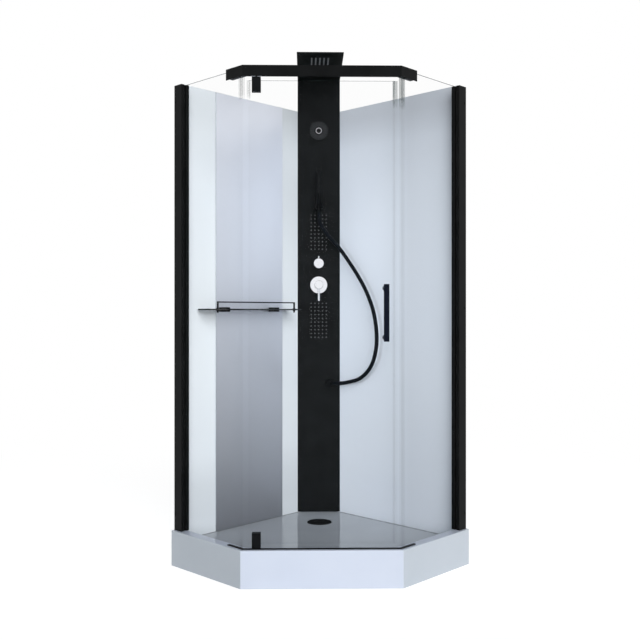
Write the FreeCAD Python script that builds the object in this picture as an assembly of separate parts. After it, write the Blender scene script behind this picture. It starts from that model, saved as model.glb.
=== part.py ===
"""Pentagonal corner shower cabin: tray, walls, glass door, shower column and shelf.

Millimetres, +Z up, +X to the viewer's right, +Y towards the room corner. The origin is on the
floor, at the middle of the bounding box. Plan places are given by the left wall: a distance along
it from the back corner and a distance inward from it. The right side mirrors the left.
"""
import FreeCAD
import Part
import math
import os

Vector = FreeCAD.Vector
ROOT2 = math.sqrt(2.0)

# Tray: plan, heights and wall thicknesses
wall_side = 905.0
return_side = 452.0
skirt_gap = 3.0
tray_height = 150.0
basin_depth = 48.0
rim_width = 48.0
tray_skin = 6.0
tray_edge_radius = 4.0
basin_corner_radius = 25.0
basin_floor_radius = 10.0
wall_lip = 40.0
dish_radius = 190.0
dish_depth = 2.0
recess_depth = 6.0
recess_room = 3.0

# Base board, welded frame and levelling feet
board_thickness = 12.0
board_margin = 22.0
board_hole_room = 10.0
frame_tube = 25.0
frame_tube_wall = 2.0
front_bar_setback = 100.0
front_bar_length = 460.0
mid_bar_length = 1000.0
back_bar_from_corner = 190.0
back_bar_length = 280.0
frame_rail_spacing = 260.0
front_foot_spacing = 380.0
mid_foot_spacing = 880.0
back_foot_spacing = 200.0
foot_pad_radius = 22.0
foot_pad_height = 10.0
foot_stud_radius = 5.0
foot_stud_grip = 15.0
foot_nut_width = 17.0
foot_nut_height = 8.0

# Waste: flange, trap, dip tube and cover
drain_from_corner = 306.0
drain_hole_radius = 45.0
waste_flange_radius = 54.0
waste_flange_thickness = 2.0
waste_tube_radius = 44.0
waste_bore_radius = 40.0
waste_ledge_radius = 37.0
waste_ledge_drop = 9.0
waste_tube_drop = 27.0
trap_radius = 50.0
trap_floor = 6.0
trap_bottom = 6.0
outlet_axis_height = 31.0
outlet_bore_radius = 20.2
outlet_wall = 3.8
outlet_length = 49.0
outlet_seat_length = 45.0
outlet_throat_radius = 18.0
dip_tube_radius = 36.5
dip_tube_wall = 2.5
dip_tube_length = 64.0
dip_lip_thickness = 3.0
dip_bridge_width = 8.0
dip_clearance = 0.3
cover_overhang = 3.0
cover_thickness = 3.0
cover_gap = 2.0
cover_boss_radius = 12.0
cover_edge_radius = 1.0

# Wall panels and mirror
panel_gap = 4.0
panel_thickness = 8.0
panel_rise = 13.5
panel_overlap = 43.0
panel_end_room = 1.0
mirror_from_corner = 265.0
mirror_width = 407.0
mirror_thickness = 4.0
mirror_margin = 2.0

# Wall posts, wall channels and their screws
post_height = 1903.0
post_inset = 14.0
post_width = 40.0
post_depth = 50.0
post_fin_reach = 15.0
post_fin_thickness = 2.5
channel_width = 30.0
channel_depth = 14.0
channel_wall = 2.5
channel_clearance = 0.4
channel_web = 2.0
post_screw_radius = 2.0
post_screw_head_radius = 4.0
post_screw_head = 2.0
post_screw_end_distance = 70.0
post_screw_grip = 9.0
wall_fixing_radius = 3.5
wall_fixing_end_distance = 150.0

# Glass, gaskets and seals
glass_thickness = 6.0
gasket_thickness = 1.0
gasket_grip = 18.0
glass_slot_room = 2.0
glass_bottom_gap = 4.0
glass_top_gap = 4.0
bottom_seal_width = 10.0
fixed_glass_setback = 14.0
seal_wall = 1.5
fixed_seal_grip = 17.0
fixed_seal_nose = 11.0
door_edge_gap = 16.0
door_seal_grip = 8.0
door_seal_nose = 7.0
door_magnet_grip = 10.0
door_magnet_nose = 9.0
drip_seal_grip = 8.0

# Top rail, threshold strip and door pivots
rail_width = 36.0
rail_height = 36.0
rail_wall = 2.5
rail_rise = 2.0
rail_lip = 7.2
rail_return_length = 100.0
threshold_height = 3.5
threshold_width = 12.0
threshold_return_length = 91.0
pivot_setback = 47.0
pivot_pin_radius = 5.0
pivot_pin_engagement = 10.0
pivot_clearance = 0.05
pivot_block_length = 40.0
pivot_block_height = 20.0
hinge_width = 35.0
hinge_height = 58.0
hinge_depth = 24.0
hinge_head = 13.0
hinge_gap = 1.2
hinge_end_room = 1.5
hinge_edge_radius = 1.5
hinge_screw_radius = 3.0
hinge_screw_head_radius = 5.0
hinge_screw_head = 3.0
hinge_screw_spacing = 20.0
hinge_screw_end_distance = 12.0
glass_hole_radius = 6.0
screw_clearance = 0.1

# Door handle
handle_length = 225.0
handle_width = 21.0
handle_depth = 14.0
handle_gap = 40.0
handle_height = 1083.5
handle_setback = 39.0
handle_post_radius = 8.0
handle_post_end_distance = 15.0
handle_cap_radius = 11.0
handle_cap_length = 9.0
handle_screw_radius = 3.0
handle_screw_grip = 15.0
handle_edge_radius = 2.0

# Column and overhead plate
column_width = 207.0
column_height = 2102.0
column_depth = 52.0
column_sheet = 2.5
column_floor_gap = 3.0
column_plate = 3.0
column_fit = 0.2
neck_height = 13.0
overhead_reach = 434.0
overhead_root_thickness = 16.0
overhead_edge_thickness = 6.0
overhead_slot_length = 157.0
overhead_slot_width = 7.0
overhead_slot_depth = 4.0
overhead_slot_pitch = 18.6
overhead_slot_count = 5
overhead_slot_setback = 64.0
overhead_strip_rise = 0.8

# Rose and nozzle fields
rose_drop = 236.0
rose_radius = 47.0
rose_thickness = 8.0
rose_edge_radius = 2.0
rose_stub_radius = 29.5
rose_stub_length = 20.0
rose_spigot_radius = 12.0
rose_spigot_length = 20.0
rose_hole_radius = 30.0
rose_ring_radius = 15.0
rose_ring_width = 3.5
rose_ring_height = 2.0
rose_spokes = 20
rose_nozzle_inner = 26.5
rose_nozzle_step = 8.0
rose_nozzle_ring_count = 3
rose_nozzle_radius = 2.0
jet_pitch = 18.5
jet_columns = 5
jet_rows = 10
jet_margin = 7.0
jet_box_depth = 22.0
jet_box_wall = 2.0
jet_inlet_radius = 6.0
upper_jet_rise = 154.0
lower_jet_drop = 173.0
jet_nozzle_radius = 3.0
nozzle_rise = 1.5

# Mixer
mixer_height = 1219.0
mixer_plate_radius = 42.0
mixer_plate_thickness = 6.0
mixer_collar_radius = 18.0
mixer_collar_height = 3.0
mixer_hole_radius = 24.0
mixer_neck_radius = 23.8
mixer_valve_width = 70.0
mixer_valve_height = 60.0
mixer_valve_depth = 44.0
spindle_radius = 8.0
spindle_depth = 20.0
spindle_reach = 26.0
spindle_clearance = 0.05
tilt_pin_radius = 2.5
tilt_pin_length = 34.0
tilt_pin_reach = 22.0
hub_radius = 21.0
hub_back = 18.0
hub_front = 50.0
hub_cavity_radius = 14.0
hub_cavity_front = 32.0
hub_edge_radius = 3.0
lever_radius = 5.5
lever_reach = 79.0
lever_depth = 40.0

# Diverter
diverter_rise = 105.0
diverter_knob_radius = 24.5
diverter_knob_back = 4.0
diverter_knob_front = 30.0
diverter_knob_edge = 3.0
diverter_pin_radius = 3.5
diverter_pin_reach = 36.5
diverter_pin_depth = 18.0
diverter_spindle_radius = 6.0
diverter_spindle_depth = 20.0
diverter_hole_radius = 14.0
diverter_neck_radius = 13.8
diverter_neck_reach = 3.0
diverter_valve_radius = 18.0
diverter_valve_depth = 44.0

# Water supply and pipes inside the column
nipple_spacing = 52.0
nipple_thread_radius = 10.48
nipple_thread_length = 18.0
nipple_flange_radius = 14.0
nipple_flange_thickness = 6.0
nipple_shank_radius = 9.0
nipple_hole_radius = 9.5
pipe_radius = 6.0
pipe_depth = 34.0
riser_offset = 26.0
outlet_pipe_depth = 23.0
pipe_joint_radius = 8.0

# Hose outlet, holder, hand shower and hose
elbow_offset = 51.0
elbow_height = 741.0
elbow_rosette_radius = 20.0
elbow_rosette_thickness = 5.0
elbow_boss_radius = 13.0
elbow_boss_reach = 36.0
elbow_branch_depth = 22.0
elbow_branch_radius = 9.0
elbow_branch_length = 34.0
elbow_nut_radius = 11.5
elbow_nut_length = 18.0
elbow_stub_radius = 8.8
elbow_hole_radius = 9.0
elbow_stub_depth = 30.0
holder_reach = 45.0
holder_rise = 110.0
holder_seat_length = 25.0
holder_ring_radius = 19.0
holder_seat_radius = 11.6
holder_seat_taper = 2.0
holder_arm_width = 22.0
holder_slot_width = 18.0
holder_plate_width = 34.0
holder_plate_height = 46.0
holder_plate_thickness = 5.0
hand_shower_clearance = 0.4
hand_shower_radius = 12.5
hand_shower_length = 203.0
hand_shower_foot = 19.0
hand_shower_foot_radius = 9.5
hand_shower_tip_radius = 6.0
hand_shower_face_length = 110.0
hand_shower_face_cut = 3.0
hose_radius = 9.25

# Shelf on the left wall
shelf_height = 1098.0
shelf_from_corner = 235.0
shelf_length = 547.0
shelf_depth = 98.0
shelf_thickness = 6.0
shelf_wall_gap = 6.0
shelf_corner_radius = 8.0
shelf_bracket_end_distance = 110.0
shelf_bracket_spacing = 300.0
shelf_bracket_width = 20.0
shelf_bracket_height = 20.0
shelf_bracket_reach = 52.0
shelf_rail_height = 32.0
shelf_rail_radius = 2.75
shelf_rail_edge_distance = 10.0
shelf_post_end_distance = 43.0
shelf_post_radius = 4.0
shelf_post_foot = 11.0
shelf_post_clearance = 0.1

# Margin by which cutting shapes pass through what they cut
overrun = 50.0

# Heights that follow from the sizes above
rim_top = skirt_gap + tray_height
tray_floor = rim_top - basin_depth
dish_foot = tray_floor - dish_depth
recess_floor = dish_foot - recess_depth
tray_underside = recess_floor - tray_skin
board_bottom = tray_underside - board_thickness
frame_bottom = board_bottom - frame_tube
post_top = rim_top + post_height
rail_top = post_top + rail_rise
rail_bottom = rail_top - rail_height
lip_bottom = rail_bottom - rail_lip
panel_top = post_top + panel_rise
threshold_top = rim_top + threshold_height
hinge_top = lip_bottom - hinge_gap
hinge_bottom = threshold_top + hinge_gap
door_top = hinge_top - hinge_head
door_bottom = hinge_bottom + hinge_head
column_bottom = tray_floor + column_floor_gap
column_top = column_bottom + column_height
overhead_underside = column_top + neck_height
rose_height = column_top - rose_drop
diverter_height = mixer_height + diverter_rise
lower_jet_height = mixer_height - lower_jet_drop
upper_jet_height = diverter_height + upper_jet_rise
holder_seat_height = upper_jet_height + holder_rise
hand_shower_bottom = holder_seat_height - hand_shower_foot

# Insets from the free sides of the tray
glass_inset = post_inset + post_width / 2
rail_outer = glass_inset - rail_width / 2
rail_inner = glass_inset + rail_width / 2
glass_slot = glass_thickness / 2 + gasket_thickness
seal_half = glass_thickness / 2 + seal_wall

# Depth of the cabin from the back corner to the front of the handle, halved by the origin
front_from_corner = (wall_side + return_side) / ROOT2
handle_reach = glass_thickness / 2 + handle_gap + handle_depth
corner_y = (front_from_corner - glass_inset + handle_reach) / 2

# Places along and inward from the left wall
wall_face = panel_gap + panel_thickness
post_outer = wall_side - post_inset
post_inner = post_outer - post_width
glass_line = wall_side - glass_inset
column_half = column_width / 2
column_edge = column_half * ROOT2 + wall_face
corner_inward = return_side - glass_inset * (ROOT2 - 1)
fixed_glass_end = corner_inward - fixed_glass_setback
fixed_glass_start = panel_gap + channel_depth + channel_web + glass_slot_room
fixed_glass_top = post_top - glass_top_gap
fixed_glass_bottom = rim_top + glass_bottom_gap
rail_corner = return_side - rail_outer * (ROOT2 - 1)
rail_return_end = rail_corner - rail_return_length
threshold_return_end = rail_corner - threshold_return_length

# Drain cover over its flange, and the recess round it
cover_radius = waste_flange_radius + cover_overhang
recess_radius = cover_radius + recess_room

# Places across the front and on the column's face
face_y = corner_y - column_half - wall_face * ROOT2
drain_y = corner_y - drain_from_corner
door_y = corner_y - front_from_corner + glass_inset
front_half = (wall_side - return_side - glass_inset * (2 - ROOT2)) / ROOT2
door_edge = front_half - door_edge_gap
pivot_x = pivot_setback - front_half
handle_x = door_edge - handle_setback


def wall_point(along, inward):
    """Plan point by the left wall, from the back corner."""
    return Vector(-(along - inward) / ROOT2, corner_y - (along + inward) / ROOT2, 0)


def flipped(point):
    """The same point on the right side."""
    return Vector(-point.x, point.y, point.z)


def mirrored(shape):
    """The right-hand twin of a left-hand shape."""
    return shape.mirror(Vector(0, 0, 0), Vector(1, 0, 0))


def front_corner(inset):
    """Left front corner of the tray's outline, moved inward by an inset."""
    return wall_point(wall_side - inset, return_side - inset * (ROOT2 - 1))


def pentagon(front_inset, wall_inset):
    """Outline of the tray with its free sides and its wall sides moved inward."""
    left_end = wall_point(wall_side - front_inset, wall_inset)
    left_front = front_corner(front_inset)
    back = wall_point(wall_inset, wall_inset)
    return [back, left_end, left_front, flipped(left_front), flipped(left_end)]


def prism(points, low, high):
    """Upright prism on a plan outline."""
    ring = [Vector(point.x, point.y, low) for point in points]
    face = Part.Face(Part.makePolygon(ring + ring[:1]))
    return face.extrude(Vector(0, 0, high - low))


def wall_block(along, inward, heights):
    """Block lying along the left wall, from three pairs of limits."""
    corners = [(along[0], inward[0]), (along[1], inward[0]), (along[1], inward[1]), (along[0], inward[1])]
    return prism([wall_point(*corner) for corner in corners], *heights)


def block(xs, ys, zs):
    """Block from three pairs of limits."""
    return Part.makeBox(xs[1] - xs[0], ys[1] - ys[0], zs[1] - zs[0], Vector(xs[0], ys[0], zs[0]))


def upright(x, y, radius, low, high):
    """Upright round bar."""
    return Part.makeCylinder(radius, high - low, Vector(x, y, low))


def crossways(x, z, radius, back, front):
    """Round bar along Y between two depths in front of the column's face."""
    return Part.makeCylinder(radius, front - back, Vector(x, face_y - back, z), Vector(0, -1, 0))


def door_bolt(x, z, radius, inner, outer):
    """Round bar through the door, from an inner to an outer distance off the glass's middle."""
    return Part.makeCylinder(radius, inner + outer, Vector(x, door_y + inner, z), Vector(0, -1, 0))


def column_block(half_width, heights, back, front):
    """Block centred on the column between two depths in front of its face."""
    return block((-half_width, half_width), (face_y - front, face_y - back), heights)


def is_upright(edge):
    """Whether an edge runs along Z."""
    ends = edge.Vertexes
    return abs(ends[0].X - ends[-1].X) + abs(ends[0].Y - ends[-1].Y) < 1e-6


def lies_at(edge, height):
    """Whether a whole edge lies at one height."""
    return abs(edge.BoundBox.ZMin - height) + abs(edge.BoundBox.ZMax - height) < 1e-6


def rounded(shape, radius, wanted):
    """The shape with the wanted edges rounded."""
    return shape.makeFillet(radius, [edge for edge in shape.Edges if wanted(edge)])


def save(name, *shapes):
    """Write one node, which may hold several separate solids."""
    solids = [solid for shape in shapes for solid in shape.Solids]
    Part.makeCompound(solids).exportStep("parts/%s.step" % name)


def inset_of(point):
    """Distance of a plan point from the nearest free side of the tray."""
    along = (corner_y - point.y + abs(point.x)) / ROOT2
    front = front_from_corner - (corner_y - point.y)
    return min(wall_side - along, front)


def tray():
    """Moulded tray: skirt, hollow rim, basin that falls to a round recess for the drain."""
    body = prism(pentagon(0, 0), skirt_gap, rim_top)
    wall_end_y = corner_y - wall_side / ROOT2

    def outer_edge(edge):
        middle = edge.BoundBox.Center
        on_free_side = middle.y < wall_end_y + 1e-6
        return on_free_side and (is_upright(edge) or lies_at(edge, rim_top))

    body = rounded(body, tray_edge_radius, outer_edge)
    basin = prism(pentagon(rim_width, -overrun), tray_floor, rim_top + overrun)
    basin = rounded(basin, basin_corner_radius, is_upright)
    basin = rounded(basin, basin_floor_radius, lambda edge: lies_at(edge, tray_floor))
    body = body.cut(basin)

    def rim_inner_edge(edge):
        return lies_at(edge, rim_top) and inset_of(edge.BoundBox.Center) > rim_width - 1e-3

    body = rounded(body, tray_edge_radius, rim_inner_edge)
    dish = Part.makeCone(recess_radius, dish_radius, dish_depth, Vector(0, drain_y, dish_foot))
    recess = upright(0, drain_y, recess_radius, recess_floor, tray_floor)
    jacket = prism(pentagon(rim_width - tray_skin, -overrun), tray_underside, rim_top)
    hollow = prism(pentagon(tray_skin, tray_skin), 0, rim_top - tray_skin).cut(jacket)
    wall_opening = prism(pentagon(tray_skin, -overrun), 0, tray_floor - wall_lip)
    drain_hole = upright(0, drain_y, drain_hole_radius, 0, rim_top)
    return body.cut(dish).cut(recess).cut(hollow).cut(wall_opening).cut(drain_hole)


def tray_base_board():
    """Stiffening board glued under the basin, open round the trap."""
    outline = pentagon(rim_width + board_margin, board_margin)
    hole = upright(0, drain_y, trap_radius + board_hole_room, 0, rim_top)
    return prism(outline, board_bottom, tray_underside).cut(hole)


def bar_places():
    """Y of the front, middle and back cross bars."""
    front = corner_y - front_from_corner + front_bar_setback
    middle = corner_y - wall_side / ROOT2
    back = corner_y - back_bar_from_corner
    return front, middle, back


def foot_places():
    """Plan places of the six feet, in pairs on the cross bars."""
    spacings = (front_foot_spacing, mid_foot_spacing, back_foot_spacing)
    return [(side * gap / 2, y) for gap, y in zip(spacings, bar_places()) for side in (-1, 1)]


def square_tube(xs, ys):
    """Square tube between plan limits, open along its longer way."""
    outer = block(xs, ys, (frame_bottom, board_bottom))
    along_x = xs[1] - xs[0] > ys[1] - ys[0]
    grow_x = overrun if along_x else -frame_tube_wall
    grow_y = -frame_tube_wall if along_x else overrun
    inner_x = (xs[0] - grow_x, xs[1] + grow_x)
    inner_y = (ys[0] - grow_y, ys[1] + grow_y)
    inner_z = (frame_bottom + frame_tube_wall, board_bottom - frame_tube_wall)
    return outer.cut(block(inner_x, inner_y, inner_z))


def tray_frame():
    """Three cross bars and the rails between them, with holes for the feet."""
    half = frame_tube / 2
    front, middle, back = bar_places()
    lengths = (front_bar_length, mid_bar_length, back_bar_length)
    bars = [square_tube((-length / 2, length / 2), (y - half, y + half))
            for length, y in zip(lengths, (front, middle, back))]
    for side in (-1, 1):
        x = side * frame_rail_spacing / 2
        bars.append(square_tube((x - half, x + half), (front + half, middle - half)))
        bars.append(square_tube((x - half, x + half), (middle + half, back - half)))
    for x, y in foot_places():
        hole = upright(x, y, foot_stud_radius + screw_clearance, 0, frame_bottom + frame_tube / 2)
        bars = [bar.cut(hole) for bar in bars]
    return bars


def tray_foot(x, y):
    """Round pad with a threaded stud that ends inside the tube."""
    pad = upright(x, y, foot_pad_radius, 0, foot_pad_height)
    return pad.fuse(upright(x, y, foot_stud_radius, 0, frame_bottom + foot_stud_grip))


def hexagon_nut(x, y, width, low, high, bore):
    """Upright hexagon nut."""
    corner = width / math.sqrt(3.0)
    angles = [math.radians(60 * step) for step in range(6)]
    ring = [Vector(x + corner * math.cos(a), y + corner * math.sin(a), 0) for a in angles]
    return prism(ring, low, high).cut(upright(x, y, bore, low - overrun, high + overrun))


def foot_lock_nut(x, y):
    """Nut that locks the stud against the tube."""
    bore = foot_stud_radius + screw_clearance
    return hexagon_nut(x, y, foot_nut_width, frame_bottom - foot_nut_height, frame_bottom, bore)


def waste_flange():
    """Flange in the recess with a tube that clamps the trap; a ledge inside carries the dip tube."""
    top = recess_floor + waste_flange_thickness
    disc = upright(0, drain_y, waste_flange_radius, recess_floor, top)
    tube = upright(0, drain_y, waste_tube_radius, recess_floor - waste_tube_drop, top)
    bore = upright(0, drain_y, waste_bore_radius, top - waste_ledge_drop, top)
    throat = upright(0, drain_y, waste_ledge_radius, 0, top)
    return disc.fuse(tube).cut(bore).cut(throat)


def waste_trap():
    """Trap cup under the tray with an outlet socket towards the room corner."""
    body = upright(0, drain_y, trap_radius, trap_bottom, tray_underside)
    cavity_radius = waste_tube_radius + screw_clearance
    cavity = upright(0, drain_y, cavity_radius, trap_bottom + trap_floor, tray_underside)
    axis = Vector(0, drain_y, outlet_axis_height)
    reach = trap_radius + outlet_length
    outlet = Part.makeCylinder(outlet_bore_radius + outlet_wall, reach, axis, Vector(0, 1, 0))
    throat = Part.makeCylinder(outlet_throat_radius, reach, axis, Vector(0, 1, 0))
    seat_base = axis + Vector(0, reach - outlet_seat_length, 0)
    seat = Part.makeCylinder(outlet_bore_radius, outlet_seat_length, seat_base, Vector(0, 1, 0))
    return body.fuse(outlet).cut(cavity).cut(throat).cut(seat)


def dip_seat():
    """Height of the ledge on which the dip tube hangs."""
    return recess_floor + waste_flange_thickness - waste_ledge_drop


def dip_tube():
    """Removable tube under the cover: lip, tube and a bridge that carries the cover's boss."""
    seat = dip_seat()
    top = seat + dip_lip_thickness
    inner = dip_tube_radius - dip_tube_wall
    lip = upright(0, drain_y, waste_bore_radius - dip_clearance, seat, top)
    tube = upright(0, drain_y, dip_tube_radius, seat - dip_tube_length, top)
    hollow = upright(0, drain_y, inner, seat - dip_tube_length, top)
    half = dip_bridge_width / 2
    bridge = block((-inner, inner), (drain_y - half, drain_y + half), (seat, top))
    return lip.fuse(tube).cut(hollow.cut(bridge))


def drain_cover():
    """Round cover, level with the dish, standing clear of the flange on its middle boss."""
    low = recess_floor + waste_flange_thickness + cover_gap
    disc = upright(0, drain_y, cover_radius, low, low + cover_thickness)
    disc = rounded(disc, cover_edge_radius, lambda edge: lies_at(edge, low + cover_thickness))
    return disc.fuse(upright(0, drain_y, cover_boss_radius, dip_seat() + dip_lip_thickness, low))


def wall_panel():
    """Left wall panel, standing on the tray between the column and the post."""
    start = column_edge - panel_overlap
    end = wall_side - rim_width - basin_floor_radius - panel_end_room
    return wall_block((start, end), (panel_gap, wall_face), (tray_floor, panel_top))


def mirror():
    """Mirror strip bonded to the left wall panel."""
    along = (mirror_from_corner, mirror_from_corner + mirror_width)
    heights = (tray_floor + mirror_margin, panel_top - mirror_margin)
    return wall_block(along, (wall_face, wall_face + mirror_thickness), heights)


def three_heights(end_distance):
    """Heights near the foot, at the middle and near the top of a post."""
    low = rim_top + end_distance
    high = post_top - end_distance
    return low, (low + high) / 2, high


def post_bolt(height, radius, start, end):
    """Round bar across the post, square to its outer face."""
    place = wall_point(post_outer - start, panel_gap + channel_depth / 2)
    base = Vector(place.x, place.y, height)
    return Part.makeCylinder(radius, end - start, base, Vector(1, 1, 0))


def wall_post():
    """Left post: a pocket for the wall channel, a slot for the glass, a fin over the panel."""
    heights = (rim_top, post_top)
    body = wall_block((post_inner, post_outer), (panel_gap, panel_gap + post_depth), heights)
    fin_along = (post_inner - post_fin_reach, post_inner)
    fin = wall_block(fin_along, (wall_face, wall_face + post_fin_thickness), heights)
    pocket_half = channel_width / 2 + channel_clearance
    pocket_end = panel_gap + channel_depth
    pocket = wall_block((glass_line - pocket_half, glass_line + pocket_half), (0, pocket_end), heights)
    slot_inward = (pocket_end + channel_web, panel_gap + post_depth)
    slot = wall_block((glass_line - glass_slot, glass_line + glass_slot), slot_inward, heights)
    body = body.fuse(fin).cut(pocket).cut(slot)
    for height in three_heights(post_screw_end_distance):
        body = body.cut(post_bolt(height, post_screw_radius + screw_clearance, 0, post_screw_grip))
    return body


def wall_channel():
    """Left channel screwed to the room wall, inside the post's pocket."""
    heights = (rim_top, post_top)
    half = channel_width / 2
    inner = half - channel_wall
    body = wall_block((glass_line - half, glass_line + half), (0, channel_depth), heights)
    hollow = wall_block((glass_line - inner, glass_line + inner), (channel_wall, channel_depth), heights)
    body = body.cut(hollow)
    for height in three_heights(post_screw_end_distance):
        body = body.cut(post_bolt(height, post_screw_radius + screw_clearance, 0, post_screw_grip))
    for height in three_heights(wall_fixing_end_distance):
        place = wall_point(glass_line, 0)
        base = Vector(place.x, place.y, height)
        body = body.cut(Part.makeCylinder(wall_fixing_radius, channel_wall, base, Vector(1, -1, 0)))
    return body


def post_screws():
    """Screws through the left post's outer face into the wall channel."""
    screws = []
    for height in three_heights(post_screw_end_distance):
        head = post_bolt(height, post_screw_head_radius, -post_screw_head, 0)
        screws.append(head.fuse(post_bolt(height, post_screw_radius, 0, post_screw_grip)))
    return screws


def fixed_glass():
    """Left side glass between the post and the front corner."""
    along = (glass_line - glass_thickness / 2, glass_line + glass_thickness / 2)
    return wall_block(along, (fixed_glass_start, fixed_glass_end), (fixed_glass_bottom, fixed_glass_top))


def glazing_gaskets():
    """Strips on both faces of the left glass in the post and in the rail."""
    strips = []
    post_end = panel_gap + post_depth
    for side in (-1, 1):
        near = glass_line + side * glass_thickness / 2
        far = near + side * gasket_thickness
        along = (min(near, far), max(near, far))
        inward = (post_end - gasket_grip, post_end)
        strips.append(wall_block(along, inward, (fixed_glass_bottom, fixed_glass_top)))
        strips.append(wall_block(along, (rail_return_end, fixed_glass_end), (rail_bottom, fixed_glass_top)))
    return strips


def fixed_edge_seals():
    """See-through strips on the front edge and under the bottom edge of the left side glass."""
    heights = (fixed_glass_bottom, rail_bottom)
    inward = (fixed_glass_end - fixed_seal_grip, fixed_glass_end + fixed_seal_nose)
    body = wall_block((glass_line - seal_half, glass_line + seal_half), inward, heights)
    half = bottom_seal_width / 2
    foot_along = (glass_line - half, glass_line + half)
    foot = wall_block(foot_along, (panel_gap + post_depth, fixed_glass_end), (rim_top, fixed_glass_bottom))
    return body.cut(fixed_glass()), foot


def rail_front():
    """Front bar of the top rail: a channel open downward with a longer outer lip, mitred at the corners."""
    outer_left = front_corner(rail_outer)
    inner_left = front_corner(rail_inner)
    body = prism([outer_left, flipped(outer_left), flipped(inner_left), inner_left], rail_bottom, rail_top)
    hollow_outer = front_corner(rail_outer + rail_wall)
    ring = [outer_left, flipped(outer_left), flipped(hollow_outer), hollow_outer]
    body = body.fuse(prism(ring, lip_bottom, rail_bottom)).removeSplitter()
    hollow_inner = front_corner(rail_inner - rail_wall)
    ring = [hollow_outer, flipped(hollow_outer), flipped(hollow_inner), hollow_inner]
    return body.cut(prism(ring, rail_bottom, rail_top - rail_wall))


def rail_return():
    """Left return of the top rail, slotted for the side glass, with the same outer lip."""
    outer_end = wall_point(wall_side - rail_outer, rail_return_end)
    inner_end = wall_point(wall_side - rail_inner, rail_return_end)
    ring = [front_corner(rail_outer), outer_end, inner_end, front_corner(rail_inner)]
    body = prism(ring, rail_bottom, rail_top)
    lip_inset = rail_outer + rail_wall
    lip_end = wall_point(wall_side - lip_inset, rail_return_end)
    ring = [front_corner(rail_outer), outer_end, lip_end, front_corner(lip_inset)]
    body = body.fuse(prism(ring, lip_bottom, rail_bottom)).removeSplitter()
    slot_along = (glass_line - glass_slot, glass_line + glass_slot)
    slot_inward = (rail_return_end - overrun, fixed_glass_end + glass_slot_room)
    return body.cut(wall_block(slot_along, slot_inward, (rail_bottom, fixed_glass_top + gasket_thickness)))


def threshold_strip():
    """Strip on the rim: a front run with a pad under the pivot, and a return at each side."""
    back_inset = rail_outer + threshold_width
    outer_left = front_corner(rail_outer)
    inner_left = front_corner(back_inset)
    ring = [outer_left, flipped(outer_left), flipped(inner_left), inner_left]
    front = prism(ring, rim_top, threshold_top)
    pad_x = (pivot_x - hinge_width / 2, pivot_x + hinge_width / 2)
    pad = block(pad_x, (door_y - rail_width / 2, door_y + hinge_depth / 2), (rim_top, threshold_top))
    pin_hole = upright(pivot_x, door_y, pivot_pin_radius + pivot_clearance, rim_top, threshold_top)
    ring = [outer_left, wall_point(wall_side - rail_outer, threshold_return_end),
            wall_point(wall_side - back_inset, threshold_return_end), inner_left]
    side = prism(ring, rim_top, threshold_top)
    return front.fuse(pad).removeSplitter().cut(pin_hole), side, mirrored(side)


def pivot_pins():
    """Fixed pivot pins: one on a block inside the rail, one standing in the threshold strip."""
    half_length = pivot_block_length / 2
    ys = (door_y - rail_width / 2 + rail_wall, door_y + rail_width / 2 - rail_wall)
    xs = (pivot_x - half_length, pivot_x + half_length)
    carrier = block(xs, ys, (rail_bottom, rail_bottom + pivot_block_height))
    upper_end = hinge_top - pivot_pin_engagement
    upper = carrier.fuse(upright(pivot_x, door_y, pivot_pin_radius, upper_end, rail_bottom))
    lower = upright(pivot_x, door_y, pivot_pin_radius, rim_top, hinge_bottom + pivot_pin_engagement)
    return upper, lower


def hinge_screw_heights():
    """Heights of the clamp screws: a pair in the top block and a pair in the bottom block."""
    top_start = hinge_top - hinge_height + hinge_screw_end_distance
    bottom_start = hinge_bottom + hinge_height - hinge_screw_end_distance
    return (top_start, top_start + hinge_screw_spacing, bottom_start - hinge_screw_spacing, bottom_start)


def door_glass():
    """Door glass with holes for the hinge screws and the handle."""
    ys = (door_y - glass_thickness / 2, door_y + glass_thickness / 2)
    sheet = block((-door_edge, door_edge), ys, (door_bottom, door_top))
    places = [(pivot_x, height) for height in hinge_screw_heights()]
    places += [(handle_x, height) for height in handle_post_heights()]
    for x, z in places:
        sheet = sheet.cut(door_bolt(x, z, glass_hole_radius, overrun, overrun))
    return sheet


def hinge_body(is_top):
    """Outer half of a pivot block, with a solid head that holds the pin's bore."""
    low = hinge_top - hinge_height if is_top else hinge_bottom
    high = low + hinge_height
    half = hinge_depth / 2
    xs = (pivot_x - hinge_width / 2, pivot_x + hinge_width / 2)
    body = block(xs, (door_y - half, door_y + half), (low, high))
    body = rounded(body, hinge_edge_radius, is_upright)
    clamp_z = (low - overrun, door_top) if is_top else (door_bottom, high + overrun)
    pocket_x = (xs[0] - overrun, xs[1] + overrun)
    body = body.cut(block(pocket_x, (door_y - glass_thickness / 2, door_y + half + overrun), clamp_z))
    bore_start = high - pivot_pin_engagement - hinge_end_room if is_top else low
    bore_end = high if is_top else low + pivot_pin_engagement + hinge_end_room
    body = body.cut(upright(pivot_x, door_y, pivot_pin_radius + pivot_clearance, bore_start, bore_end))
    for height in hinge_screw_heights():
        bore = hinge_screw_radius + screw_clearance
        body = body.cut(door_bolt(pivot_x, height, bore, half, half - hinge_end_room))
    return body


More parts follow.
